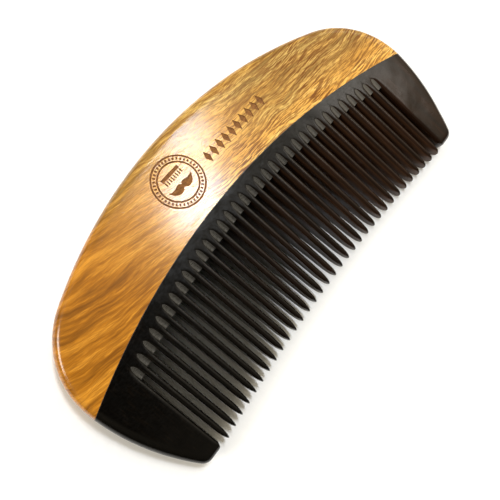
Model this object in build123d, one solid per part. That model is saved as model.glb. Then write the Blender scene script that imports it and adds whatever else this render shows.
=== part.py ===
from build123d import *
from math import asin, cos, degrees, radians, sin, sqrt
import os

# A beard comb: an arched wooden back and a horn tooth plate, joined by a blind
# tongue and groove with a film of adhesive between them.
# X runs along the comb, Y from the tooth tips to the crown of the back, Z is up.
# The comb lies on its lower face, so z = 0 is the face it rests on, and the
# origin is under the middle of its bounding box.

# ---- overall size ----
length = 105.3
height = 49.9
thickness = 7.2
mid_z = thickness / 2
crown_y = height / 2
guard_end_y = -height / 2

# ---- outline: a crown arc, a shoulder arc and a side arc, tangent to each other ----
shoulder_radius = 19.0
shoulder_drop = 26.1
guard_end_half_width = 46.3
guard_corner_radius = 2.4
rim_radius = 2.2

# ---- joint between wood and horn, an arc about a centre far below the comb ----
joint_drop = 18.5
joint_radius = 152.0
film = 0.1
tongue_thickness = 2.6
tongue_depth = 5.0
tongue_half_angle = 17.0

# ---- teeth ----
tooth_count = 33
pitch = 2.5
gap_width = 1.25
tip_half_thickness = 1.1
tip_rise = 2.0
tip_arc_radius = 366.0
gap_drop = 23.6
gap_arc_radius = 147.0
run_out = 3.0
groove_depth = 0.5
saw_radius = 25.0
point_length = 3.6
tip_width = 0.6

# ---- engraved mark: a milled ring round a comb and a moustache, and a row of lozenges ----
mark_depth = 0.15
ring_x = -7.7
ring_drop = 9.8
ring_radius = 5.8
ring_line = 0.4
ring_gap = 0.9
tick_count = 40
tick_width = 0.4
tick_clearance = 0.15
moustache_span = 3.4
moustache_drop = 1.3
emblem_bar_length = 5.0
emblem_bar_width = 0.8
emblem_tooth_width = 0.3
emblem_tooth_length = 1.0
emblem_tooth_count = 8
emblem_clearance = 0.1
row_x = 0.6
row_drop = 10.8
row_step = 1.97
row_count = 10
lozenge_length = 1.4
lozenge_width = 3.0

# ---- values that follow from these ----
half_length = length / 2
shoulder_x = half_length - shoulder_radius
shoulder_y = crown_y - shoulder_drop
# The crown arc starts level at the crown and touches the shoulder circle.
crown_radius = (shoulder_x**2 + shoulder_drop**2 - shoulder_radius**2) / 2
crown_radius = crown_radius / (shoulder_drop - shoulder_radius)
joint_y = crown_y - joint_drop
joint_centre = (0, joint_y - joint_radius)
tip_y = guard_end_y + tip_rise
slope = (mid_z - tip_half_thickness) / (joint_y - tip_y)
gap_centre_y = crown_y - gap_drop - gap_arc_radius
slot_half_angle = tongue_half_angle + degrees(film / joint_radius)
far = 3 * length


def outline():
    """The comb's outer edge seen from above, closed straight across the tooth tips."""
    centre_y = crown_y - crown_radius
    turn = asin(shoulder_x / (crown_radius - shoulder_radius))
    crown_end = (crown_radius * sin(turn), centre_y + crown_radius * cos(turn))
    side_top = (half_length, shoulder_y)
    side_bottom = (guard_end_half_width, guard_end_y)
    crown = RadiusArc((0, crown_y), crown_end, crown_radius)
    shoulder = TangentArc(crown_end, side_top, tangent=crown % 1)
    side = TangentArc(side_top, side_bottom, tangent=(0, -1))
    right_half = [crown, shoulder, side, Line(side_bottom, (0, guard_end_y))]
    edges = Curve() + right_half
    half = make_face(edges + Line((0, guard_end_y), (0, crown_y)))
    whole = half + mirror(half, about=Plane.YZ)
    corners = [corner for corner in whole.vertices().group_by(Axis.Y)[0] if corner.X != 0]
    return fillet(corners, guard_corner_radius)


def blank():
    """The comb as one slab with its rim rounded, cut to the arc of the tooth tips."""
    slab = extrude(outline(), thickness)
    faces = slab.faces().sort_by(Axis.Z)
    slab = fillet(faces[0].edges() + faces[-1].edges(), rim_radius)
    return slab - Pos(0, tip_y - tip_arc_radius, mid_z) * Cylinder(tip_arc_radius, 2 * thickness)


def sector(radius, low, high, half_angle):
    """A slice of a vertical cylinder about the joint's centre, open on the comb's side."""
    return Pos(joint_centre[0], joint_centre[1], low) * extrude(
        Polygon(
            (0, 0),
            (far * sin(radians(half_angle)), far * cos(radians(half_angle))),
            (-far * sin(radians(half_angle)), far * cos(radians(half_angle))),
            align=None,
        )
        & Circle(radius),
        high - low,
    )


def tongue(clearance, half_angle):
    """The horn's tongue, or with a clearance the groove that takes it."""
    half = tongue_thickness / 2 + clearance
    return sector(joint_radius + tongue_depth + clearance, mid_z - half, mid_z + half, half_angle)


def taper():
    """What is ground off one face of the horn, a cone about the joint's centre."""
    reach = 2 * (joint_y - tip_y)
    inner = joint_radius - reach
    profile = Polygon(
        (joint_radius, mid_z),
        (inner, mid_z - slope * reach),
        (inner, mid_z),
        align=None,
    )
    ring = revolve(Plane.XZ * profile, Axis.Z)
    return Pos(joint_centre[0], joint_centre[1], mid_z) * ring


def gap_cutter():
    """One gap, with its inner end at y = 0: a slot flared at the tips, and a saw run-out per face."""
    depth = crown_y - gap_drop - guard_end_y
    half_gap = gap_width / 2
    half_mouth = (pitch - tip_width) / 2
    flare_y = point_length - depth
    slot = Polygon(
        (half_gap, 0),
        (-half_gap, 0),
        (-half_gap, flare_y),
        (-half_mouth, -depth - 1),
        (half_mouth, -depth - 1),
        (half_gap, flare_y),
        align=None,
    )
    # The saw leaves the face at run_out and is groove_depth below it at the gap's end.
    bar = gap_drop - joint_drop
    high = mid_z - slope * (bar - run_out)
    low = mid_z - slope * bar - groove_depth
    chord = sqrt(run_out**2 + (high - low) ** 2)
    lift = sqrt(saw_radius**2 - chord**2 / 4) / chord
    centre_y = run_out / 2 - lift * (high - low)
    centre_z = (high + low) / 2 + lift * run_out
    disc = Rot(0, 90, 0) * Cylinder(saw_radius, gap_width)
    cutter = extrude(slot, mid_z, both=True)
    cutter += Pos(0, centre_y, centre_z) * disc
    cutter += Pos(0, centre_y, -centre_z) * disc
    return cutter


def gaps():
    """All the gaps, one more than the teeth, with their inner ends on an arc."""
    cutter = gap_cutter()
    placed = []
    for index in range(tooth_count + 1):
        x = (index - tooth_count / 2) * pitch
        y = gap_centre_y + sqrt(gap_arc_radius**2 - x**2)
        placed.append(Pos(x, y, mid_z) * cutter)
    return placed


def moustache():
    """Two curled halves that meet in the middle."""
    span = moustache_span
    top, tip, bottom = (0, 0.16 * span), (span, 0.34 * span), (0, -0.1 * span)
    upper = Bezier(top, (0.3 * span, 0.5 * span), (0.55 * span, -0.05 * span), tip)
    lower = Bezier(tip, (0.8 * span, -0.3 * span), (0.3 * span, -0.42 * span), bottom)
    half = make_face(Curve() + [upper, lower, Line(bottom, top)])
    return Pos(0, -moustache_drop) * (half + mirror(half, about=Plane.YZ))


def milled_ring():
    """Two thin rings with short ticks between them."""
    inner = ring_radius - ring_line - ring_gap
    outer_ring = Circle(ring_radius) - Circle(ring_radius - ring_line)
    inner_ring = Circle(inner) - Circle(inner - ring_line)
    tick = Rectangle(ring_gap - 2 * tick_clearance, tick_width)
    return [outer_ring, inner_ring] + [
        Rot(0, 0, 360 * index / tick_count) * Pos(inner + ring_gap / 2, 0) * tick
        for index in range(tick_count)
    ]


def emblem_comb():
    """A small comb: a bar with separate teeth below it."""
    bar_y = moustache_drop + emblem_tooth_length
    tooth_y = bar_y - emblem_bar_width / 2 - emblem_clearance - emblem_tooth_length / 2
    step = emblem_bar_length / emblem_tooth_count
    tooth = Rectangle(emblem_tooth_width, emblem_tooth_length)
    return [Pos(0, bar_y) * Rectangle(emblem_bar_length, emblem_bar_width)] + [
        Pos((index + 0.5) * step - emblem_bar_length / 2, tooth_y) * tooth
        for index in range(emblem_tooth_count)
    ]


def mark():
    """The shallow engraving in the upper face of the back."""
    centre = Pos(ring_x, crown_y - ring_drop)
    shapes = [centre * shape for shape in milled_ring() + emblem_comb() + [moustache()]]
    lozenge = Polygon(
        (0, lozenge_width / 2),
        (-lozenge_length / 2, 0),
        (0, -lozenge_width / 2),
        (lozenge_length / 2, 0),
        align=None,
    )
    shapes += [Pos(row_x + index * row_step, crown_y - row_drop) * lozenge for index in range(row_count)]
    return [Pos(0, 0, thickness - mark_depth) * extrude(shape, 1) for shape in shapes]


comb = blank()
shoulder = sector(joint_radius + film, -1, thickness + 1, 60)
horn_side = sector(joint_radius, -1, thickness + 1, 60)

wood_back = comb - shoulder - tongue(film, slot_half_angle) - mark()
adhesive_film = comb & (shoulder + tongue(film, slot_half_angle)) - (horn_side + tongue(0, tongue_half_angle))
horn = comb & (horn_side + tongue(0, tongue_half_angle))
horn_tooth_plate = horn - taper() - mirror(taper(), about=Plane.XY.offset(mid_z)) - gaps()

nodes = {
    "wood_back": wood_back,
    "horn_tooth_plate": horn_tooth_plate,
    "adhesive_film": adhesive_film,
}

os.makedirs("parts", exist_ok=True)
for name, shape in nodes.items():
    export_step(shape, f"parts/{name}.step")
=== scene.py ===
from math import radians

import bmesh
import bpy
import numpy as np
from mathutils import Matrix, Vector


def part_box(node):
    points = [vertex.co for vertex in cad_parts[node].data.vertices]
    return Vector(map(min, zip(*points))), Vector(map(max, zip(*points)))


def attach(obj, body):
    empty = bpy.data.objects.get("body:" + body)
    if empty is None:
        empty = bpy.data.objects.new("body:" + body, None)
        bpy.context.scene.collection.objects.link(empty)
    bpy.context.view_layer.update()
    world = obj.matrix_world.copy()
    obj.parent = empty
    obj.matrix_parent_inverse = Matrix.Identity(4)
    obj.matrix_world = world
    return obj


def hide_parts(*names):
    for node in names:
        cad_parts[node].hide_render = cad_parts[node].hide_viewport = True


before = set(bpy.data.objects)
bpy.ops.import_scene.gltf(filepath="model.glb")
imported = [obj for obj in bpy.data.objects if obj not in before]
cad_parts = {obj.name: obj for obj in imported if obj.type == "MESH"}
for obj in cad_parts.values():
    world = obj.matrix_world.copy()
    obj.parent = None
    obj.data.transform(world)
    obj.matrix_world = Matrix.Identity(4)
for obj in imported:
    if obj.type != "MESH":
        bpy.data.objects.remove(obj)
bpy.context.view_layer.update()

# ---- sizes, in millimetres in the CAD frame ----
MM = 0.001
wood_low, wood_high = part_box("wood_back")
horn_low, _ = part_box("horn_tooth_plate")
HALF_LENGTH = wood_high.x / MM
CROWN_Y = wood_high.y / MM
GUARD_END_Y = horn_low.y / MM
MID_Z = (wood_low.z + wood_high.z) / 2 / MM
HALF_THICKNESS = MID_Z

SHOULDER_RADIUS = 19.0
SHOULDER_DROP = 26.1
GUARD_END_HALF_WIDTH = 46.3
GUARD_CORNER_RADIUS = 2.4
RIM_RADIUS = 2.2
# The traced outline ends here, a little past the guard's inner side.
OUTLINE_END_X = 38.0

JOINT_DROP = 18.5
JOINT_RADIUS = 152.0
FILM = 0.1
TONGUE_THICKNESS = 2.6
TONGUE_DEPTH = 5.0
TONGUE_HALF_ANGLE = 17.0

TOOTH_COUNT = 33
PITCH = 2.5
GAP_WIDTH = 1.25
TIP_HALF_THICKNESS = 1.1
TIP_RISE = 2.0
TIP_ARC_RADIUS = 366.0
GAP_DROP = 23.6
GAP_ARC_RADIUS = 147.0
RUN_OUT = 3.0
POINT_LENGTH = 3.6
NOSE_LENGTH = 1.3
CROWN_HEIGHT = 0.6
GROOVE_DEPTH = 0.62
GROOVE_EDGE = 0.55

MARK_DEPTH = 0.15
RING_X = -7.7
RING_DROP = 9.8
RING_RADIUS = 5.8
RING_LINE = 0.4
RING_GAP = 0.9
TICK_COUNT = 40
TICK_WIDTH = 0.4
TICK_CLEARANCE = 0.15
MOUSTACHE_SPAN = 3.4
MOUSTACHE_DROP = 1.3
EMBLEM_BAR = (5.0, 0.8)
EMBLEM_TOOTH = (0.3, 1.0)
EMBLEM_TEETH = 8
EMBLEM_CLEARANCE = 0.1
ROW_X = 0.6
ROW_DROP = 10.8
ROW_STEP = 1.97
ROW_COUNT = 10
LOZENGE_LENGTH = 1.4
LOZENGE_WIDTH = 3.0

# Edges that turn by more than this many degrees stay sharp.
HORN_SHARP = 38
WOOD_SHARP = 30
# In metres: points within WELD are joined, and edges under SHORTEST_EDGE are removed.
WELD = 2e-6
SHORTEST_EDGE = 1e-7

# ---- sizes that follow from these ----
SHOULDER_X = HALF_LENGTH - SHOULDER_RADIUS
SHOULDER_Y = CROWN_Y - SHOULDER_DROP
JOINT_Y = CROWN_Y - JOINT_DROP
JOINT_CENTRE = np.array([0.0, JOINT_Y - JOINT_RADIUS])
TIP_Y = GUARD_END_Y + TIP_RISE
TAPER = (HALF_THICKNESS - TIP_HALF_THICKNESS) / (JOINT_Y - TIP_Y)


def smooth(x):
    """0 to 1 with level ends."""
    x = np.clip(x, 0.0, 1.0)
    return x * x * (3.0 - 2.0 * x)


def arc_y(x, top, radius):
    """Height of an arc that is level at x = 0."""
    return top - radius + np.sqrt(radius**2 - np.asarray(x, float) ** 2)


def joint_y(x, radius=JOINT_RADIUS):
    return JOINT_CENTRE[1] + np.sqrt(radius**2 - np.asarray(x, float) ** 2)


def resample(line, share):
    """Points at shares of a polyline's length."""
    steps = np.hypot(*np.diff(line, axis=0).T)
    along = np.concatenate([[0.0], np.cumsum(steps)])
    at = np.asarray(share) * along[-1]
    return np.stack([np.interp(at, along, line[:, 0]), np.interp(at, along, line[:, 1])], axis=-1)


# ---- outline of the comb, right half, from the crown to the end of the guard ----
def right_outline():
    squares = SHOULDER_X**2 + SHOULDER_DROP**2 - SHOULDER_RADIUS**2
    crown_radius = squares / (2 * (SHOULDER_DROP - SHOULDER_RADIUS))
    turn = np.arcsin(SHOULDER_X / (crown_radius - SHOULDER_RADIUS))
    a = np.linspace(0, turn, 160)
    crown = np.stack([crown_radius * np.sin(a), CROWN_Y - crown_radius + crown_radius * np.cos(a)], -1)
    a = np.linspace(turn, np.pi / 2, 120)[1:]
    shoulder_centre = np.array([SHOULDER_X, SHOULDER_Y])
    shoulder = shoulder_centre + SHOULDER_RADIUS * np.stack([np.sin(a), np.cos(a)], -1)
    run = HALF_LENGTH - GUARD_END_HALF_WIDTH
    fall = SHOULDER_Y - GUARD_END_Y
    side_radius = (run**2 + fall**2) / (2 * run)
    centre = np.array([HALF_LENGTH - side_radius, SHOULDER_Y])
    # The corner circle touches the side arc from inside and the guard's end.
    corner_y = GUARD_END_Y + GUARD_CORNER_RADIUS
    reach = side_radius - GUARD_CORNER_RADIUS
    corner = np.array([centre[0] + np.sqrt(reach**2 - (centre[1] - corner_y) ** 2), corner_y])
    touch = np.arctan2(centre[1] - corner[1], corner[0] - centre[0])
    a = np.linspace(0, touch, 160)[1:]
    side = centre + side_radius * np.stack([np.cos(a), -np.sin(a)], -1)
    a = np.linspace(touch, np.pi / 2, 60)[1:]
    bend = corner + GUARD_CORNER_RADIUS * np.stack([np.cos(a), -np.sin(a)], -1)
    return crown, shoulder, side, bend


CROWN, SHOULDER, SIDE, BEND = right_outline()
OUTLINE = np.concatenate([CROWN, SHOULDER, SIDE, BEND, [[OUTLINE_END_X, GUARD_END_Y]]])


def rim_distance(points):
    """How far points on the plan are from the outer edge, with the left half folded onto the right."""
    folded = np.abs(points[..., :1]), points[..., 1:]
    flat = np.concatenate(folded, -1).reshape(-1, 2)
    best = np.full(len(flat), np.inf)
    for start, step in zip(OUTLINE[:-1], np.diff(OUTLINE, axis=0)):
        share = np.clip(((flat - start) @ step) / (step @ step), 0, 1)
        best = np.minimum(best, np.hypot(*(flat - start - share[:, None] * step).T))
    return best.reshape(points.shape[:-1])


def round_rim(points, half):
    """Half thickness once the rim is rounded."""
    radius = np.minimum(RIM_RADIUS, half)
    inside = np.minimum(rim_distance(points), radius)
    return half - radius + np.sqrt(np.maximum(radius**2 - (radius - inside) ** 2, 0))


def horn_half(points):
    """Half thickness of the horn before any rounding: ground away with distance from the joint."""
    away = JOINT_RADIUS - np.hypot(points[..., 0], points[..., 1] - JOINT_CENTRE[1])
    return HALF_THICKNESS - TAPER * np.maximum(away, 0)


# ---- mesh building ----
class Builder:
    """Collects grids of points for the upper half, mirrors them and welds the halves."""

    def __init__(self):
        self.points = []
        self.faces = []
        self.finishes = []

    def grid(self, x, y, z, flip=False, finish=0):
        """A sheet of quads over arrays of equal shape."""
        rows, cols = x.shape
        first = len(self.points)
        self.finishes.extend([finish] * (rows - 1) * (cols - 1))
        self.points.extend(np.stack([x, y, z], -1).reshape(-1, 3).tolist())
        for r in range(rows - 1):
            for c in range(cols - 1):
                i = first + r * cols + c
                face = (i, i + 1, i + cols + 1, i + cols)
                self.faces.append(face[::-1] if flip else face)

    def make(self, name, sharp_angle):
        points = np.array(self.points)
        below = points * [1, 1, -1]
        count = len(points)
        everything = np.concatenate([points, below]) + [0, 0, MID_Z]
        faces = self.faces + [tuple(i + count for i in reversed(f)) for f in self.faces]
        mesh = bpy.data.meshes.new(name)
        mesh.from_pydata((everything * MM).tolist(), [], faces)
        mesh.polygons.foreach_set("material_index", self.finishes * 2)
        work = bmesh.new()
        work.from_mesh(mesh)
        bmesh.ops.remove_doubles(work, verts=work.verts, dist=WELD)
        bmesh.ops.dissolve_degenerate(work, edges=work.edges, dist=SHORTEST_EDGE)
        bmesh.ops.recalc_face_normals(work, faces=work.faces)
        work.to_mesh(mesh)
        work.free()
        mesh.shade_smooth()
        mesh.set_sharp_from_angle(angle=radians(sharp_angle))
        piece = bpy.data.objects.new(name, mesh)
        bpy.context.scene.collection.objects.link(piece)
        return piece


def prism(work, corners, low, high):
    """A closed block over a flat outline."""
    floor_ring = [work.verts.new((x * MM, y * MM, low * MM)) for x, y in corners]
    roof_ring = [work.verts.new((x * MM, y * MM, high * MM)) for x, y in corners]
    work.faces.new(reversed(floor_ring))
    work.faces.new(roof_ring)
    count = len(corners)
    for i in range(count):
        j = (i + 1) % count
        work.faces.new((floor_ring[i], floor_ring[j], roof_ring[j], roof_ring[i]))


def hoop(work, centre, inner, outer, low, high, start=0.0, stop=360.0, steps=96):
    """A closed block between two arcs; a full turn makes a ring."""
    full = stop - start >= 360
    turns = np.radians(np.linspace(start, stop, steps + 1))
    turns = turns[:-1] if full else turns
    rings = []
    for radius, z in ((inner, low), (outer, low), (outer, high), (inner, high)):
        x = centre[0] + radius * np.cos(turns)
        y = centre[1] + radius * np.sin(turns)
        rings.append([work.verts.new((a * MM, b * MM, z * MM)) for a, b in zip(x, y)])
    count = len(turns)
    for i in range(count if full else count - 1):
        j = (i + 1) % count
        for k in range(4):
            a, b = rings[k], rings[(k + 1) % 4]
            work.faces.new((a[i], a[j], b[j], b[i]))
    if not full:
        work.faces.new([ring[0] for ring in rings])
        work.faces.new([ring[-1] for ring in reversed(rings)])


# ---- rows along a tooth, from the joint to the tip ----
BAR_ROWS, GROOVE_ROWS, SHAFT_ROWS, POINT_ROWS = 4, 9, 12, 13
TOOTH_COLUMNS, GROOVE_COLUMNS = 13, 7
GROOVE_ROW = BAR_ROWS
START_ROW = BAR_ROWS + GROOVE_ROWS
POINT_ROW = START_ROW + SHAFT_ROWS
LAST_ROW = POINT_ROW + POINT_ROWS
ROWS = np.arange(LAST_ROW + 1)

# How far each row has come from the joint to the grooves, and along a groove to its gap.
OWN = 1 - np.clip(ROWS / GROOVE_ROW, 0, 1)
GROOVE_SHARE = np.clip((ROWS - GROOVE_ROW) / GROOVE_ROWS, 0, 1)
POINT_LEFT = POINT_LENGTH * np.clip(1 - (ROWS - POINT_ROW) / POINT_ROWS, 0, 1) ** 2
NARROW = np.where(ROWS > POINT_ROW, (1 - (1 - POINT_LEFT / POINT_LENGTH) ** 1.8) ** 0.56, 1.0)
NOSE = np.sqrt(1 - (1 - np.clip(POINT_LEFT / NOSE_LENGTH, 0, 1)) ** 2)
NOSE[: POINT_ROW + 1] = 1.0
# A groove opens from a fifth of the gap's width to all of it over its first half.
OPENING = np.sqrt(1 - (1 - np.minimum(GROOVE_SHARE / 0.5, 1)) ** 2)
HALF_GROOVE = GAP_WIDTH / 2 * (0.2 + 0.8 * OPENING)
HALF_TOOTH = np.where(ROWS > START_ROW, (PITCH - GAP_WIDTH) / 2 * NARROW, PITCH / 2 - HALF_GROOVE)
HALF_GAP = PITCH / 2 - HALF_TOOTH
# The power of the superellipse across a tooth's top, from nearly square to nearly an ellipse.
ROUNDNESS = 6.0 - 3.9 * GROOVE_SHARE
# How far a groove's sides lean in, which grows less towards its gap.
DRAFT = 0.12 * (1 - GROOVE_SHARE) * (1 - OWN)
EDGE_DEPTH = GROOVE_EDGE * GROOVE_DEPTH * (1 - (1 - GROOVE_SHARE) ** 1.4)
EDGE_DEPTH += 0.3 * smooth((ROWS - START_ROW) / SHAFT_ROWS)


def row_y(x, nominal):
    """The height of every row: near the joint at its own x, further on at a nominal x."""
    x = x * OWN[:, None] + nominal * (1 - OWN[:, None])
    joint = joint_y(x)
    start = arc_y(x, CROWN_Y - GAP_DROP, GAP_ARC_RADIUS)
    groove = start + RUN_OUT
    tip = arc_y(x, TIP_Y, TIP_ARC_RADIUS)
    point = tip + POINT_LENGTH
    r = ROWS[:, None]
    y = joint + (groove - joint) * np.clip(r / BAR_ROWS, 0, 1)
    y = np.where(r > GROOVE_ROW, groove + (start - groove) * (r - GROOVE_ROW) / GROOVE_ROWS, y)
    y = np.where(r > START_ROW, start + (point - start) * (r - START_ROW) / SHAFT_ROWS, y)
    return np.where(r > POINT_ROW, tip + POINT_LEFT[:, None], y)


def edge_depth(half):
    """How far the side of a groove goes down before its floor begins."""
    return np.minimum(EDGE_DEPTH[:, None], 0.6 * half)


def wall(builder, side, x, y, top, half):
    """A tooth's side below its rounded top: down to the groove's floor, then to the middle."""
    edge = half - edge_depth(half)
    steps = np.array([0, 0.5, 1.0])
    wall_x = x + side * DRAFT[:, None] * steps
    builder.grid(wall_x, y + 0 * steps, top * (1 - steps) + edge * steps, flip=side < 0)
    rows = slice(START_ROW, None)
    steps = np.array([1.0, 0.5, 0])
    builder.grid((x + 0 * steps)[rows], (y + 0 * steps)[rows], (edge * steps)[rows], flip=side < 0)


def tooth(builder, index):
    """One tooth with the strip of bar above it."""
    centre = (index - (TOOTH_COUNT - 1) / 2) * PITCH
    xi = np.sin(np.pi / 2 * np.linspace(-1, 1, TOOTH_COLUMNS))
    to_tip = smooth((ROWS - START_ROW) / (LAST_ROW - START_ROW))[:, None]
    x = centre + HALF_TOOTH[:, None] * xi
    gaps_apart = centre + PITCH / 2 * np.sign(xi) * np.abs(xi) ** 3
    y = row_y(x, gaps_apart * (1 - to_tip) + centre * to_tip)
    half = horn_half(np.stack([x, y], -1)) * NOSE[:, None]
    crown = np.minimum(CROWN_HEIGHT, 0.9 * edge_depth(half))
    n = ROUNDNESS[:, None]
    top = half - crown * (1 - (1 - np.abs(xi) ** n) ** (1 / n))
    builder.grid(x, y, top)
    for side, edge in ((-1, 0), (1, TOOTH_COLUMNS - 1)):
        column = slice(edge, edge + 1)
        wall(builder, side, x[:, column], y[:, column], top[:, column], half[:, column])


def groove(builder, index):
    """The scooped groove at the inner end of one gap, and the step down into the gap."""
    centre = (index - TOOTH_COUNT / 2) * PITCH
    xi = np.linspace(-1, 1, GROOVE_COLUMNS)
    x = centre + (HALF_GAP - DRAFT)[:, None] * xi
    # The outer columns sit under the walls, which are placed by their tops.
    under = np.where(np.abs(xi) > 0.99, centre + HALF_GAP[:, None] * xi, x)
    y = row_y(under, centre)
    half = horn_half(np.stack([under, y], -1))
    scoop = 1 + (1 / GROOVE_EDGE - 1) * (1 - xi**2)
    z = half - edge_depth(half) * scoop
    bar, run = slice(0, GROOVE_ROW + 1), slice(GROOVE_ROW, START_ROW + 1)
    builder.grid(x[bar], y[bar], z[bar])
    builder.grid(x[run], y[run], z[run], finish=1)
    steps = np.array([1.0, 0.5, 0])[:, None]
    last = np.stack([x[START_ROW], y[START_ROW], z[START_ROW]])
    builder.grid(last[0] + 0 * steps, last[1] + 0 * steps, last[2] * steps, finish=1)


GUARD_INNER = (TOOTH_COUNT / 2) * PITCH
GUARD_INNER_RADIUS = 1.4
GUARD_COLUMNS = 21


def guard(builder, side):
    """One end guard, as a patch between the last gap, the joint, the rim and the guard's end."""
    inner_x = GUARD_INNER + HALF_GAP[: START_ROW + 1]
    inner_x = np.concatenate([inner_x, np.full(LAST_ROW - START_ROW, GUARD_INNER + GAP_WIDTH / 2)])
    y = row_y(inner_x[:, None], GUARD_INNER)[:, 0]
    # Below the gap's start the rows spread to reach the guard's end.
    start_y = y[START_ROW]
    spread = (y - start_y) / (y[-1] - start_y)
    y = np.where(ROWS > START_ROW, start_y + (GUARD_END_Y - start_y) * spread, y)
    bend = np.clip((GUARD_INNER_RADIUS - (y - GUARD_END_Y)) / GUARD_INNER_RADIUS, 0, 1)
    inner = np.stack([inner_x + GUARD_INNER_RADIUS * (1 - np.sqrt(1 - bend**2)), y], -1)

    edge = np.concatenate([SHOULDER[-1:], SIDE, BEND[: len(BEND) // 2]])
    top_index = np.argmin(np.abs(edge[:, 1] - joint_y(edge[:, 0])))
    outer_top = np.array([[edge[top_index, 0], joint_y(edge[top_index, 0])]])
    down = (inner[0, 1] - inner[:, 1]) / (inner[0, 1] - inner[-1, 1])
    outer = resample(np.concatenate([outer_top, edge[top_index + 1 :]]), down)

    # Columns are close together at the inner edge and over the rounded rim.
    q = np.linspace(0, 1, GUARD_COLUMNS)
    share = 0.35 * q + 0.65 * (0.5 - 0.5 * np.cos(np.pi * q))
    top_x = inner[0, 0] + (outer[0, 0] - inner[0, 0]) * share
    top = np.stack([top_x, joint_y(top_x)], -1)
    end = np.concatenate([BEND[len(BEND) // 2 - 1 :], inner[-1:]])[::-1]
    bottom = resample(end, share)
    t = down[:, None, None]
    w = share[None, :, None]
    plan = (1 - t) * top[None] + t * bottom[None] + (1 - w) * inner[:, None] + w * outer[:, None]
    plan -= (1 - t) * ((1 - w) * inner[0] + w * outer[0]) + t * ((1 - w) * inner[-1] + w * outer[-1])

    half = horn_half(plan)
    rounded = round_rim(plan, half)
    # The inner edge is eased where there is a gap beside it.
    crown = np.minimum(CROWN_HEIGHT, 0.9 * edge_depth(half[:, :1]))
    from_edge = np.clip(np.hypot(*(plan - inner[:, None]).transpose(2, 0, 1)) / CROWN_HEIGHT, 0, 1)
    ease = crown * (1 - np.sqrt(1 - (1 - from_edge) ** 2))
    z = np.minimum(rounded, half - ease)
    x, y = plan[..., 0], plan[..., 1]
    edge_half = np.minimum(half[:, :1], z[:, :1] + crown)
    wall(builder, -side, side * x[:, :1], y[:, :1], z[:, :1], edge_half)
    x = np.concatenate([x, x[:, -1:]], 1)
    y = np.concatenate([y, y[:, -1:]], 1)
    z = np.concatenate([z, 0 * z[:, -1:]], 1)
    x = np.concatenate([x, x[-1:]], 0)
    y = np.concatenate([y, y[-1:]], 0)
    z = np.concatenate([z, 0 * z[-1:]], 0)
    builder.grid(side * x, y, z, flip=side < 0)


def joint_wall(builder):
    """The horn's wall along the joint, under every column that ends there."""
    points = np.array(builder.points)
    from_joint = np.hypot(points[:, 0], points[:, 1] - JOINT_CENTRE[1]) - JOINT_RADIUS
    row = points[(np.abs(from_joint) < 1e-3) & (points[:, 2] > 0)]
    row = row[np.argsort(row[:, 0])]
    keep = np.concatenate([[True], np.abs(np.diff(row[:, 0])) > 1e-4])
    x, y, z = row[keep].T
    builder.grid(np.stack([x, x]), np.stack([y, y]), np.stack([z, 0 * z]))


def tongue():
    """The tongue that enters the wood's groove, a closed block rooted in the plate."""
    work = bmesh.new()
    half = TONGUE_THICKNESS / 2
    turn = TONGUE_HALF_ANGLE
    reach = (JOINT_RADIUS - 0.4, JOINT_RADIUS + TONGUE_DEPTH)
    hoop(work, JOINT_CENTRE, *reach, MID_Z - half, MID_Z + half, 90 - turn, 90 + turn)
    return work


def horn_plate():
    builder = Builder()
    for index in range(TOOTH_COUNT):
        tooth(builder, index)
    for index in range(TOOTH_COUNT + 1):
        groove(builder, index)
    for side in (-1, 1):
        guard(builder, side)
    joint_wall(builder)
    return builder.make("horn_comb_plate", HORN_SHARP)


# ---- wooden back ----
def wood_patch():
    """The back's upper half as a patch between the joint, the two shoulders and the crown."""
    side = np.concatenate([SHOULDER[-1:], SIDE])
    low_index = np.argmin(np.abs(side[:, 1] - joint_y(side[:, 0], JOINT_RADIUS + FILM)))
    low_x = side[low_index, 0]
    low = np.array([[low_x, joint_y(low_x, JOINT_RADIUS + FILM)]])
    shoulder_mid = len(SHOULDER) // 2
    rising = np.concatenate([low, side[:low_index][::-1], SHOULDER[shoulder_mid:][::-1]])
    half_crown = np.concatenate([CROWN, SHOULDER[: shoulder_mid + 1]])
    crown = np.concatenate([half_crown[::-1] * [-1, 1], half_crown[1:]])
    q = np.linspace(0, 1, 141)
    across = 0.5 - 0.5 * np.cos(np.pi * q)
    across = 0.55 * across + 0.45 * q
    q = np.linspace(0, 1, 34)
    up = 1 - (1 - q) ** 1.7
    right = resample(rising, up)
    left = right * [-1, 1]
    base_x = low_x * (2 * across - 1)
    base = np.stack([base_x, joint_y(base_x, JOINT_RADIUS + FILM)], -1)
    top = resample(crown, across)
    t = up[:, None, None]
    w = across[None, :, None]
    plan = (1 - t) * base[None] + t * top[None] + (1 - w) * left[:, None] + w * right[:, None]
    plan -= (1 - t) * (1 - w) * left[0] + (1 - t) * w * right[0] + t * (1 - w) * left[-1] + t * w * right[-1]
    z = round_rim(plan, np.full(plan.shape[:2], HALF_THICKNESS))
    return plan, z


def wood_back():
    builder = Builder()
    plan, z = wood_patch()
    x, y = plan[..., 0], plan[..., 1]
    x = np.concatenate([x[:, :1], x, x[:, -1:]], 1)
    y = np.concatenate([y[:, :1], y, y[:, -1:]], 1)
    z = np.concatenate([0 * z[:, :1], z, 0 * z[:, -1:]], 1)
    x = np.concatenate([x[:1], x, x[-1:]], 0)
    y = np.concatenate([y[:1], y, y[-1:]], 0)
    z = np.concatenate([0 * z[:1], z, 0 * z[-1:]], 0)
    builder.grid(x, y, z)
    return builder.make("sandalwood_back", WOOD_SHARP)


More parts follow.
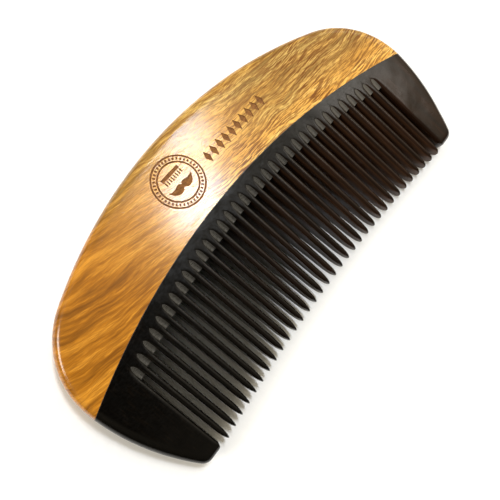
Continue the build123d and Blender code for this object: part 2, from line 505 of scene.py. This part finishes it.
# ---- engraving and groove in the wood ----
def bezier(points, steps=14):
    """Points along a cubic curve."""
    a, b, c, d = [np.array(p) for p in points]
    t = np.linspace(0, 1, steps)[:, None]
    return a * (1 - t) ** 3 + 3 * b * t * (1 - t) ** 2 + 3 * c * t**2 * (1 - t) + d * t**3


def rectangle(x, y, width, height):
    return [
        (x - width / 2, y - height / 2),
        (x + width / 2, y - height / 2),
        (x + width / 2, y + height / 2),
        (x - width / 2, y + height / 2),
    ]


def moustache(centre):
    """Two curled halves that meet in the middle."""
    span = MOUSTACHE_SPAN
    top, tip, bottom = (0, 0.16 * span), (span, 0.34 * span), (0, -0.1 * span)
    upper = bezier([top, (0.3 * span, 0.5 * span), (0.55 * span, -0.05 * span), tip])
    lower = bezier([tip, (0.8 * span, -0.3 * span), (0.3 * span, -0.42 * span), bottom])
    right = np.concatenate([upper, lower[1:]])
    left = right[1:-1][::-1] * [-1, 1]
    return np.concatenate([right, left]) + centre


def mark_cutter():
    """The engraving: a milled ring with a comb and a moustache, and a row of lozenges."""
    work = bmesh.new()
    low = MID_Z + HALF_THICKNESS - MARK_DEPTH
    high = low + 1.0
    centre = np.array([RING_X, CROWN_Y - RING_DROP])
    inner = RING_RADIUS - RING_LINE - RING_GAP
    hoop(work, centre, RING_RADIUS - RING_LINE, RING_RADIUS, low, high)
    hoop(work, centre, inner - RING_LINE, inner, low, high)
    for index in range(TICK_COUNT):
        turn = 2 * np.pi * index / TICK_COUNT
        out = np.array([np.cos(turn), np.sin(turn)])
        side = np.array([-out[1], out[0]]) * TICK_WIDTH / 2
        near = centre + out * (inner + TICK_CLEARANCE)
        far = centre + out * (RING_RADIUS - RING_LINE - TICK_CLEARANCE)
        prism(work, [near - side, far - side, far + side, near + side], low, high)
    prism(work, moustache(centre - [0, MOUSTACHE_DROP]), low, high)
    bar_y = centre[1] + MOUSTACHE_DROP + EMBLEM_TOOTH[1]
    prism(work, rectangle(centre[0], bar_y, *EMBLEM_BAR), low, high)
    for index in range(EMBLEM_TEETH):
        x = centre[0] + EMBLEM_BAR[0] * ((index + 0.5) / EMBLEM_TEETH - 0.5)
        y = bar_y - EMBLEM_BAR[1] / 2 - EMBLEM_TOOTH[1] / 2 - EMBLEM_CLEARANCE
        prism(work, rectangle(x, y, *EMBLEM_TOOTH), low, high)
    for index in range(ROW_COUNT):
        x = ROW_X + index * ROW_STEP
        y = CROWN_Y - ROW_DROP
        half = (LOZENGE_LENGTH / 2, LOZENGE_WIDTH / 2)
        prism(work, [(x, y - half[1]), (x + half[0], y), (x, y + half[1]), (x - half[0], y)], low, high)
    for face in work.faces:
        face.material_index = 1
    return work


def groove_cutter():
    """The blind groove that takes the horn's tongue, with room for the film."""
    work = bmesh.new()
    half = TONGUE_THICKNESS / 2 + FILM
    turn = TONGUE_HALF_ANGLE + np.degrees(FILM / JOINT_RADIUS)
    inner, outer = JOINT_RADIUS - 2, JOINT_RADIUS + TONGUE_DEPTH + FILM
    hoop(work, JOINT_CENTRE, inner, outer, MID_Z - half, MID_Z + half, 90 - turn, 90 + turn, 61)
    return work


def combine(piece, work, operation, sharp_angle):
    """Cuts a block out of a piece or adds it on; the new faces keep the block's finish."""
    bmesh.ops.recalc_face_normals(work, faces=work.faces)
    mesh = bpy.data.meshes.new("cutter")
    work.to_mesh(mesh)
    work.free()
    cutter = bpy.data.objects.new("cutter", mesh)
    bpy.context.scene.collection.objects.link(cutter)
    for material in piece.data.materials:
        mesh.materials.append(material)
    change = piece.modifiers.new("carve", "BOOLEAN")
    change.operation = operation
    change.solver = "EXACT"
    change.material_mode = "TRANSFER"
    change.object = cutter
    bpy.context.view_layer.update()
    carved = bpy.data.meshes.new_from_object(piece.evaluated_get(bpy.context.evaluated_depsgraph_get()))
    piece.modifiers.clear()
    old = piece.data
    carved.name = old.name
    piece.data = carved
    bpy.data.objects.remove(cutter)
    bpy.data.meshes.remove(mesh)
    bpy.data.meshes.remove(old)
    piece.data.shade_smooth()
    piece.data.set_sharp_from_angle(angle=radians(sharp_angle))


# ---- pieces ----
plate = horn_plate()
wood = wood_back()


# ---- materials ----
class Graph:
    """A short way to write a node material; places are in millimetres on the comb."""

    def __init__(self, name, **shader_values):
        self.material = bpy.data.materials.new(name)
        self.material.use_nodes = True
        self.tree = self.material.node_tree
        self.shader = self.tree.nodes["Principled BSDF"]
        for key, value in shader_values.items():
            self.shader.inputs[key.replace("_", " ")].default_value = value
        spot = self.add("ShaderNodeTexCoord").outputs["Object"]
        scale = self.add("ShaderNodeVectorMath", (spot, None, None, 1 / MM), operation="SCALE")
        self.place = scale.outputs["Vector"]
        split = self.add("ShaderNodeSeparateXYZ", (self.place,))
        self.x, self.y, self.z = split.outputs

    def add(self, kind, values=(), **settings):
        node = self.tree.nodes.new(kind)
        for key, value in settings.items():
            setattr(node, key, value)
        for socket, value in zip(node.inputs, values):
            if isinstance(value, bpy.types.NodeSocket):
                self.tree.links.new(value, socket)
            elif value is not None:
                socket.default_value = value
        return node

    def math(self, operation, a, b=0.0):
        return self.add("ShaderNodeMath", (a, b), operation=operation).outputs[0]

    def vector(self, x, y, z):
        return self.add("ShaderNodeCombineXYZ", (x, y, z)).outputs[0]

    def noise(self, place, scale, detail=2.0, roughness=0.5, distortion=0.0):
        """Noise between 0 and 1, with a scale per axis in cells per millimetre."""
        stretched = self.add("ShaderNodeVectorMath", (place, scale), operation="MULTIPLY").outputs[0]
        node = self.add("ShaderNodeTexNoise", noise_dimensions="3D")
        self.tree.links.new(stretched, node.inputs["Vector"])
        node.inputs["Scale"].default_value = 1.0
        node.inputs["Detail"].default_value = detail
        node.inputs["Roughness"].default_value = roughness
        node.inputs["Distortion"].default_value = distortion
        return node.outputs["Fac"]

    def fade(self, value, low, high, to_low=0.0, to_high=1.0):
        """A smooth change of value from one level to another."""
        node = self.add("ShaderNodeMapRange", interpolation_type="SMOOTHSTEP")
        self.tree.links.new(value, node.inputs["Value"])
        for key, number in (("From Min", low), ("From Max", high), ("To Min", to_low), ("To Max", to_high)):
            node.inputs[key].default_value = number
        return node.outputs["Result"]

    def colors(self, value, stops):
        node = self.add("ShaderNodeValToRGB", (value,))
        elements = node.color_ramp.elements
        while len(elements) < len(stops):
            elements.new(0.5)
        for element, (at, color) in zip(elements, stops):
            element.position = at
            element.color = (*color, 1)
        return node.outputs["Color"]

    def facing(self):
        """1 where the surface lies level, 0 where it stands upright."""
        normal = self.add("ShaderNodeNewGeometry").outputs["Normal"]
        upward = self.add("ShaderNodeSeparateXYZ", (normal,)).outputs[2]
        return self.math("ABSOLUTE", upward)

    def mix(self, share, a, b):
        node = self.add("ShaderNodeMix", data_type="RGBA")
        for socket, value in (("Factor_Float", share), ("A_Color", a), ("B_Color", b)):
            target = next(i for i in node.inputs if i.identifier == socket)
            if isinstance(value, bpy.types.NodeSocket):
                self.tree.links.new(value, target)
            else:
                target.default_value = (*value, 1) if isinstance(value, tuple) else value
        return next(o for o in node.outputs if o.identifier == "Result_Color")

    def bump(self, height, strength, depth):
        """Relief, with its depth in millimetres."""
        node = self.add("ShaderNodeBump")
        node.inputs["Strength"].default_value = strength
        node.inputs["Distance"].default_value = depth * MM
        self.tree.links.new(height, node.inputs["Height"])
        return node.outputs["Normal"]

    def feed(self, **links):
        for key, value in links.items():
            self.tree.links.new(value, self.shader.inputs[key.replace("_", " ")])
        return self.material


def wood_grain(graph):
    """Place along and across the grain, which falls away to the right and waves."""
    lean = graph.math("ADD", graph.math("MULTIPLY", graph.x, 0.19), graph.y)
    curve = graph.math("MULTIPLY", graph.math("MULTIPLY", graph.x, graph.x), -0.0007)
    slow = graph.math("MULTIPLY", graph.noise(graph.place, (0.05, 0.09, 0.05), 1.0), 7.0)
    quick = graph.math("MULTIPLY", graph.noise(graph.place, (0.22, 0.35, 0.2), 2.0), 1.0)
    across = graph.math("ADD", graph.math("ADD", lean, curve), graph.math("ADD", slow, quick))
    return graph.vector(graph.x, across, graph.z)


def sandalwood():
    graph = Graph("sandalwood", Specular_IOR_Level=0.08, Coat_Roughness=0.14, Coat_IOR=1.5)
    grain = wood_grain(graph)
    across = graph.add("ShaderNodeSeparateXYZ", (grain,)).outputs[1]
    bands = graph.noise(grain, (0.03, 0.34, 0.2), 3.0, 0.55)
    streaks = graph.noise(grain, (0.08, 1.1, 0.4), 3.0, 0.6)
    fine = graph.noise(grain, (0.4, 5.5, 1.2), 2.0, 0.6)
    # The dark marks and pores lean and wave less than the grain, and arch more.
    straight = graph.math("ADD", graph.math("MULTIPLY", graph.x, 0.12), graph.y)
    arch = graph.math("MULTIPLY", graph.math("MULTIPLY", graph.x, graph.x), -0.0012)
    straight = graph.math("ADD", straight, arch)
    bend = graph.math("MULTIPLY", graph.noise(graph.place, (0.08, 0.12, 0.1), 1.0), 2.6)
    straight = graph.math("ADD", straight, bend)
    strokes = graph.vector(graph.x, straight, graph.z)
    flecks = graph.noise(strokes, (0.26, 3.6, 0.6), 1.0, 0.5)
    phase = graph.math("MULTIPLY", graph.noise(strokes, (0.18, 0.45, 0.3), 1.0), 18.0)
    ripple = graph.math("SINE", graph.math("ADD", graph.math("MULTIPLY", straight, 6.8), phase))
    lines = graph.math("ADD", graph.math("MULTIPLY", ripple, 0.07), flecks)
    pores = graph.noise(strokes, (0.6, 5.5, 1.2), 1.0, 0.5)
    patches = graph.noise(graph.place, (0.12, 0.2, 0.1), 1.0)
    # Richer, darker wood on the left and paler wood on the right: partly the wood's own tone, partly painted
    # light where the right of the back is lit more brightly.
    right = graph.fade(graph.x, -34.0, 4.0)
    tone = graph.math("ADD", graph.math("MULTIPLY", bands, 0.5), graph.math("MULTIPLY", streaks, 0.5))
    tone = graph.fade(tone, 0.34, 0.66)
    left_colors = [
        (0.0, (0.18, 0.062, 0.003)),
        (0.45, (0.42, 0.155, 0.008)),
        (1.0, (0.66, 0.28, 0.025)),
    ]
    right_lit_colors = [
        (0.0, (0.76, 0.36, 0.05)),
        (0.45, (0.96, 0.51, 0.1)),
        (1.0, (1.0, 0.67, 0.19)),
    ]
    rich = graph.colors(tone, left_colors)
    pale = graph.colors(tone, right_lit_colors)
    color = graph.mix(right, rich, pale)
    # Olive brown streaks run along the crown.
    olive = graph.math("MULTIPLY", graph.fade(across, 13.0, 19.0), graph.fade(graph.x, 2.0, 20.0))
    crown = graph.math("MULTIPLY", graph.fade(graph.y, 18.0, 23.0), graph.fade(graph.x, -34.0, -16.0))
    olive = graph.math("MAXIMUM", olive, crown)
    olive = graph.math("MULTIPLY", olive, graph.fade(streaks, 0.36, 0.62, 0.95, 0.4))
    color = graph.mix(olive, color, (0.24, 0.14, 0.03))
    dark = graph.fade(lines, 0.5, 0.59)
    depth = graph.fade(graph.x, -30.0, 6.0, 0.32, 0.95)
    depth = graph.math("MULTIPLY", depth, graph.fade(patches, 0.3, 0.65, 0.6, 1.0))
    # The marks are fainter high up in the middle, round the engraving.
    calm = graph.fade(graph.x, 32.0, 18.0, 0.0, 0.55)
    calm = graph.math("MULTIPLY", graph.fade(graph.y, 9.0, 14.0), calm)
    depth = graph.math("MULTIPLY", depth, graph.math("SUBTRACT", 1.0, calm))
    color = graph.mix(graph.math("MULTIPLY", dark, depth), color, (0.15, 0.04, 0.0))
    pits = graph.math("MULTIPLY", graph.fade(pores, 0.5, 0.62), graph.fade(graph.x, -30.0, 6.0, 0.15, 0.6))
    color = graph.mix(pits, color, (0.17, 0.05, 0.002))
    color = graph.mix(graph.fade(fine, 0.4, 0.66, 0.0, 0.4), color, (0.22, 0.085, 0.008))
    height = graph.math("ADD", graph.math("MULTIPLY", fine, 0.5), graph.math("MULTIPLY", dark, -0.5))
    rough = graph.fade(streaks, 0.3, 0.7, 0.38, 0.5)
    relief = graph.bump(height, 0.4, 0.015)
    # The lacquer reflects more over the rounded rim, and less over the right of the back.
    lacquer = graph.fade(graph.facing(), 0.92, 0.995, 1.0, 0.4)
    lacquer = graph.math("MULTIPLY", lacquer, graph.fade(graph.x, 8.0, 26.0, 1.0, 0.5))
    graph.feed(Coat_Normal=relief, Coat_Weight=lacquer)
    return graph.feed(Base_Color=color, Roughness=rough, Normal=relief)


def scorched_wood():
    graph = Graph("scorched_wood", Roughness=0.7, Specular_IOR_Level=0.2)
    grain = wood_grain(graph)
    char = graph.noise(graph.place, (2.2, 2.2, 2.2), 3.0, 0.6)
    streaks = graph.noise(grain, (0.5, 3.0, 0.5), 2.0)
    tone = graph.math("ADD", graph.math("MULTIPLY", char, 0.6), graph.math("MULTIPLY", streaks, 0.4))
    color = graph.colors(tone, [(0.3, (0.09, 0.032, 0.008)), (0.7, (0.33, 0.14, 0.035))])
    return graph.feed(Base_Color=color, Normal=graph.bump(char, 0.6, 0.05))


def polished_horn():
    graph = Graph("polished_horn", Specular_IOR_Level=0.28)
    long = graph.noise(graph.place, (0.5, 0.06, 0.4), 3.0, 0.55, 0.6)
    thin = graph.noise(graph.place, (3.0, 0.35, 2.0), 2.0, 0.5)
    right = graph.fade(graph.x, -34.0, 30.0)
    low = graph.fade(graph.y, 4.0, -6.0)
    brown = graph.fade(long, 0.3, 0.7, 0.35, 1.0)
    brown = graph.math("MULTIPLY", brown, graph.math("MULTIPLY", right, low))
    color = graph.mix(brown, (0.0012, 0.0009, 0.0006), (0.02, 0.008, 0.0035))
    color = graph.mix(graph.fade(thin, 0.5, 0.8, 0.0, 0.3), color, (0.012, 0.007, 0.0035))
    # A browner colour on the sides of the teeth stands in for light that comes through them.
    side = graph.fade(graph.facing(), 0.25, 0.7, 1.0, 0.0)
    before_guard = graph.fade(graph.x, 41.4, 42.0, 1.0, 0.0)
    teeth = graph.math("MULTIPLY", graph.fade(graph.x, -16.0, 32.0), before_guard)
    glow = graph.math("MULTIPLY", side, teeth)
    glow = graph.math("MULTIPLY", glow, graph.fade(long, 0.3, 0.7, 0.6, 1.0))
    color = graph.mix(glow, color, (0.075, 0.036, 0.019))
    wave = graph.noise(graph.place, (0.13, 0.13, 0.13), 2.0, 0.5)
    scuff = graph.noise(graph.place, (1.2, 6.0, 3.0), 2.0, 0.7)
    rough = graph.fade(scuff, 0.3, 0.75, 0.15, 0.25)
    hand_ground = graph.bump(wave, 0.6, 0.25)
    return graph.feed(Base_Color=color, Roughness=rough, Normal=hand_ground)


def sawn_horn():
    graph = Graph("sawn_horn", Specular_IOR_Level=0.7)
    marks = graph.noise(graph.place, (0.8, 7.0, 7.0), 2.0, 0.6)
    color = graph.colors(marks, [(0.3, (0.012, 0.011, 0.009)), (0.7, (0.05, 0.047, 0.041))])
    # The grooves are painted paler towards the right: a painted sheen where they catch the light from that
    # side.
    color = graph.mix(graph.fade(graph.x, 6.0, 40.0, 0.0, 0.75), color, (0.1, 0.09, 0.075))
    rough = graph.fade(marks, 0.3, 0.7, 0.25, 0.4)
    return graph.feed(Base_Color=color, Roughness=rough, Normal=graph.bump(marks, 0.5, 0.04))


def adhesive():
    graph = Graph("adhesive", Specular_IOR_Level=0.4)
    lumps = graph.noise(graph.place, (1.5, 1.5, 1.5), 3.0, 0.6)
    color = graph.colors(lumps, [(0.3, (0.008, 0.005, 0.003)), (0.7, (0.03, 0.017, 0.009))])
    return graph.feed(Base_Color=color, Roughness=graph.fade(lumps, 0.3, 0.7, 0.35, 0.6))


def paper():
    graph = Graph("pale_paper", Roughness=0.9, Specular_IOR_Level=0.2)
    fibres = graph.noise(graph.place, (0.6, 0.6, 0.6), 3.0, 0.6)
    color = graph.colors(fibres, [(0.3, (0.95, 0.95, 0.948)), (0.7, (0.98, 0.98, 0.978))])
    return graph.feed(Base_Color=color, Normal=graph.bump(fibres, 0.1, 0.03))


for piece, node, slot in ((plate, "horn_tooth_plate", "polished_horn"), (wood, "wood_back", "back_wood")):
    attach(piece, "root")
    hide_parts(node)
plate.data.materials.append(polished_horn())
plate.data.materials.append(sawn_horn())
wood.data.materials.append(sandalwood())
wood.data.materials.append(scorched_wood())
combine(plate, tongue(), "UNION", HORN_SHARP)
combine(wood, groove_cutter(), "DIFFERENCE", WOOD_SHARP)
combine(wood, mark_cutter(), "DIFFERENCE", WOOD_SHARP)
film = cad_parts["adhesive_film"]
film.data.materials.clear()
film.data.materials.append(adhesive())


# ---- stage, light and camera ----
FLOOR_REACH = 1.5
FILL_COLOR = (1.0, 0.89, 0.67)
FILL_LEVEL = 1.26
# The middle of the dark patch overhead, and the light's level at angles from it in degrees.
FILL_CENTRE = (-0.08, -0.1, 1)
FILL_STOPS = [
    (0, 0.0),
    (9, 0.003),
    (12, 0.1),
    (15, 0.3),
    (20, 0.48),
    (31, 0.52),
    (38, 0.75),
    (46, 0.72),
    (54, 0.86),
    (63, 0.62),
    (73, 0.25),
    (90, 0.12),
]
KEY_COLOR = (0.92, 0.97, 1.04)
WARM_COLOR = (1.0, 0.95, 0.88)
LAMP_COLOR = (1.0, 0.94, 0.84)
# The camera's place in the CAD frame, its lens and its sensor are in millimetres.
CAMERA_PLACE = (-36.5, -1.34, 104.31)
CAMERA_FORWARD = (0.2715, -0.0357, -0.9618)
CAMERA_UP = (0.7444, 0.6412, 0.1864)
CAMERA_LENS = 35.63
SENSOR_WIDTH = 36.0


def stage_floor(reach):
    mesh = bpy.data.meshes.new("floor")
    corners = [(-reach, -reach, 0), (reach, -reach, 0), (reach, reach, 0), (-reach, reach, 0)]
    mesh.from_pydata(corners, [], [(0, 1, 2, 3)])
    floor = bpy.data.objects.new("floor", mesh)
    bpy.context.scene.collection.objects.link(floor)
    floor.data.materials.append(paper())


def between(tree, value, low, high, to_low, to_high):
    """A straight change of value from one level to another, held at both ends."""
    node = tree.nodes.new("ShaderNodeMapRange")
    for key, number in (("From Min", low), ("From Max", high), ("To Min", to_low), ("To Max", to_high)):
        node.inputs[key].default_value = number
    tree.links.new(value, node.inputs["Value"])
    return node.outputs["Result"]


def surroundings(centre, stops):
    """Warm light from all round, darker overhead where the camera stands."""
    world = bpy.data.worlds.new("studio")
    bpy.context.scene.world = world
    world.use_nodes = True
    tree = world.node_tree
    spot = tree.nodes.new("ShaderNodeTexCoord")
    dot = tree.nodes.new("ShaderNodeVectorMath")
    dot.operation = "DOT_PRODUCT"
    dot.inputs[1].default_value = Vector(centre).normalized()
    tree.links.new(spot.outputs["Generated"], dot.inputs[0])
    angle = tree.nodes.new("ShaderNodeMath")
    angle.operation = "ARCCOSINE"
    tree.links.new(dot.outputs["Value"], angle.inputs[0])
    share = tree.nodes.new("ShaderNodeMath")
    share.operation = "DIVIDE"
    share.inputs[1].default_value = radians(90)
    tree.links.new(angle.outputs[0], share.inputs[0])
    ramp = tree.nodes.new("ShaderNodeValToRGB")
    tree.links.new(share.outputs[0], ramp.inputs["Fac"])
    elements = ramp.color_ramp.elements
    while len(elements) < len(stops):
        elements.new(0.5)
    for element, (degrees, level) in zip(elements, stops):
        element.position = degrees / 90
        element.color = (level * FILL_COLOR[0], level * FILL_COLOR[1], level * FILL_COLOR[2], 1)
    split = tree.nodes.new("ShaderNodeSeparateXYZ")
    tree.links.new(spot.outputs["Generated"], split.inputs[0])
    # More of it comes from the right, and less from the side the teeth point to.
    side = between(tree, split.outputs[0], -0.85, 0.7, 0.2 * FILL_LEVEL, 1.5 * FILL_LEVEL)
    ahead = between(tree, split.outputs[1], -0.65, 0.0, 0.3, 1.0)
    strength = tree.nodes.new("ShaderNodeMath")
    strength.operation = "MULTIPLY"
    tree.links.new(side, strength.inputs[0])
    tree.links.new(ahead, strength.inputs[1])
    background = tree.nodes["Background"]
    tree.links.new(ramp.outputs["Color"], background.inputs["Color"])
    tree.links.new(strength.outputs[0], background.inputs["Strength"])


def card(name, middle, width, height, radiance, color, long_axis=(0.68, 0.73, 0)):
    """A soft rectangular light aimed at the comb, in metres, with its height along the long axis."""
    light = bpy.data.lights.new(name, "AREA")
    light.shape = "RECTANGLE"
    light.size = width
    light.size_y = height
    light.energy = radiance * np.pi * width * height
    light.color = color
    lamp = bpy.data.objects.new(name, light)
    back = Vector(middle).normalized()
    right = Vector(long_axis).cross(back).normalized()
    up = back.cross(right)
    turned = Matrix((right, up, back)).transposed().to_4x4()
    lamp.matrix_world = Matrix.Translation(middle) @ turned
    bpy.context.scene.collection.objects.link(lamp)


stage_floor(FLOOR_REACH)
surroundings(FILL_CENTRE, FILL_STOPS)
card("window_low", (0.137, 0.066, 0.507), 0.064, 0.072, 84.0, KEY_COLOR)
card("window_high", (0.193, 0.13, 0.507), 0.053, 0.048, 60.0, KEY_COLOR)
card("side_card", (0.37, -0.065, 0.5), 0.07, 0.12, 6.0, WARM_COLOR, (0, 1, 0))
card("right_lamp", (0.56, 0.12, 0.4), 0.2, 0.28, 5.0, LAMP_COLOR, (0, 1, 0))
card("far_lamp", (-0.37, 0.3, 0.32), 0.18, 0.22, 12.5, WARM_COLOR, (0.63, 0.78, 0))


def photo_camera(place, forward, up, lens):
    camera_data = bpy.data.cameras.new("camera")
    camera_data.sensor_width = SENSOR_WIDTH
    camera_data.lens = lens
    camera_data.clip_start = 0.005
    camera = bpy.data.objects.new("camera", camera_data)
    bpy.context.scene.collection.objects.link(camera)
    forward = Vector(forward).normalized()
    right = forward.cross(Vector(up)).normalized()
    up = right.cross(forward)
    turned = Matrix((right, up, -forward)).transposed().to_4x4()
    camera.matrix_world = Matrix.Translation(Vector(place) * MM) @ turned
    bpy.context.scene.camera = camera


photo_camera(CAMERA_PLACE, CAMERA_FORWARD, CAMERA_UP, CAMERA_LENS)
bpy.context.scene.view_settings.view_transform = "Standard"
